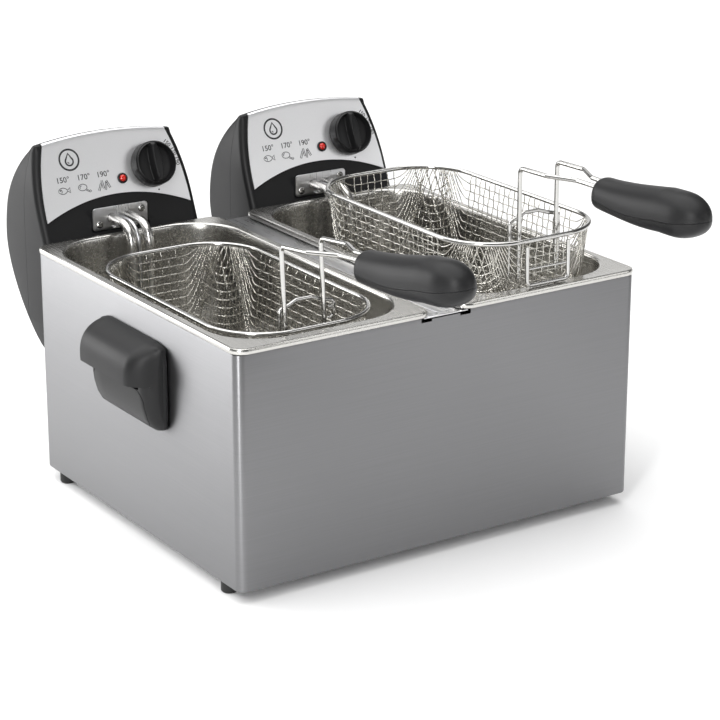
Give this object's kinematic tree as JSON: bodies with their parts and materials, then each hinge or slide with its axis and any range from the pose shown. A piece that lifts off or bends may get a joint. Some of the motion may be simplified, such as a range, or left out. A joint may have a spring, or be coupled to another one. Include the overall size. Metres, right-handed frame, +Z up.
{
  "type": "deep fryer",
  "caption": "Electric countertop deep fryer with a brushed steel casing, twin lift-out oil tanks, plug-on control heads with dials, and wire baskets with pull-off handles.",
  "frame": {"origin": "on the table, in the middle of the object's bounding box", "axes": "+Z up, front towards -Y, +X to the right as seen from the front"},
  "size_m": [0.44, 0.6136, 0.3192],
  "materials": {
    "brushed_steel": "fine horizontal brushing",
    "satin_steel": "satin",
    "chrome_wire": "bright plated wire",
    "panel_silver": "satin silver",
    "charcoal_plastic": "fine matt grain",
    "black_plastic": "satin",
    "rubber": "matt",
    "red_lens": "glossy lens",
    "heater_metal": "satin, heat toned",
    "cream_ceramic": "unglazed",
    "brass": "satin"
  },
  "bodies": {
    "root": {"casing_shell": "brushed_steel", "base_plate": "brushed_steel", "foot_front_left": "rubber", "foot_front_right": "rubber", "foot_rear_left": "rubber", "foot_rear_right": "rubber", "centre_bridge": "satin_steel", "side_handle_left": "charcoal_plastic", "side_handle_right": "charcoal_plastic", "side_handle_insert_left": "black_plastic", "side_handle_insert_right": "black_plastic", "head_rail_left": "satin_steel", "head_rail_right": "satin_steel"},
    "tank_left": {"tank_left": "satin_steel"},
    "head_left": {"head_housing_left": "charcoal_plastic", "rear_cover_left": "charcoal_plastic", "fascia_left": "panel_silver", "thermostat_left": "brass", "pilot_lamp_left": "red_lens", "element_plate_left": "satin_steel", "plate_screw_a_left": "chrome_wire", "plate_screw_b_left": "chrome_wire", "heating_element_left": "heater_metal", "element_clip_left": "satin_steel", "sensor_bulb_left": "satin_steel", "cord_gland_left": "rubber", "terminal_block_left": "cream_ceramic"},
    "knob_left": {"knob_left": "black_plastic"},
    "reset_left": {"reset_button_left": "black_plastic"},
    "basket_left": {"basket_left": "chrome_wire", "basket_rim_left": "chrome_wire", "basket_bracket_left": "chrome_wire", "hanging_hook_left": "chrome_wire"},
    "handle_left": {"fork_wire_left": "chrome_wire", "grip_upper_left": "charcoal_plastic", "grip_lower_left": "black_plastic"},
    "tank_right": {"tank_right": "satin_steel"},
    "head_right": {"head_housing_right": "charcoal_plastic", "rear_cover_right": "charcoal_plastic", "fascia_right": "panel_silver", "thermostat_right": "brass", "pilot_lamp_right": "red_lens", "element_plate_right": "satin_steel", "plate_screw_a_right": "chrome_wire", "plate_screw_b_right": "chrome_wire", "heating_element_right": "heater_metal", "element_clip_right": "satin_steel", "sensor_bulb_right": "satin_steel", "cord_gland_right": "rubber", "terminal_block_right": "cream_ceramic"},
    "knob_right": {"knob_right": "black_plastic"},
    "reset_right": {"reset_button_right": "black_plastic"},
    "basket_right": {"basket_right": "chrome_wire", "basket_rim_right": "chrome_wire", "basket_bracket_right": "chrome_wire", "hanging_hook_right": "chrome_wire"},
    "handle_right": {"fork_wire_right": "chrome_wire", "grip_upper_right": "charcoal_plastic", "grip_lower_right": "black_plastic"}
  },
  "joints": [
    {"name": "tank_lift_left", "type": "slide", "parent": "root", "child": "tank_left", "axis": [0, 0, 1], "range_m": [0, 0.2]},
    {"name": "head_lift_left", "type": "slide", "parent": "tank_left", "child": "head_left", "axis": [0, 0, 1], "range_m": [0, 0.16]},
    {"name": "knob_turn_left", "type": "hinge", "parent": "head_left", "child": "knob_left", "pos_m": [-0.064, 0.23096, 0.25317], "axis": [0, 0.9191, -0.3939], "range_deg": [0, 270]},
    {"name": "reset_press_left", "type": "slide", "parent": "head_left", "child": "reset_left", "axis": [0, -1, 0], "range_m": [0, 0.002], "stiffness_N_per_m": 400, "springref_m": -0.0005},
    {"name": "basket_lift_left", "type": "slide", "parent": "head_left", "child": "basket_left", "axis": [0, 0, 1], "range_m": [0, 0.12]},
    {"name": "handle_lift_left", "type": "slide", "parent": "basket_left", "child": "handle_left", "axis": [0, 0, 1], "range_m": [0, 0.055]},
    {"name": "tank_lift_right", "type": "slide", "parent": "root", "child": "tank_right", "axis": [0, 0, 1], "range_m": [0, 0.2]},
    {"name": "head_lift_right", "type": "slide", "parent": "tank_right", "child": "head_right", "axis": [0, 0, 1], "range_m": [0, 0.16]},
    {"name": "knob_turn_right", "type": "hinge", "parent": "head_right", "child": "knob_right", "pos_m": [0.141, 0.23096, 0.25317], "axis": [0, 0.9191, -0.3939], "range_deg": [0, 270]},
    {"name": "reset_press_right", "type": "slide", "parent": "head_right", "child": "reset_right", "axis": [0, -1, 0], "range_m": [0, 0.002], "stiffness_N_per_m": 400, "springref_m": -0.0005},
    {"name": "basket_lift_right", "type": "slide", "parent": "head_right", "child": "basket_right", "axis": [0, 0, 1], "range_m": [0, 0.12]},
    {"name": "handle_lift_right", "type": "slide", "parent": "basket_right", "child": "handle_right", "axis": [0, 0, 1], "range_m": [0, 0.055]}
  ]
}
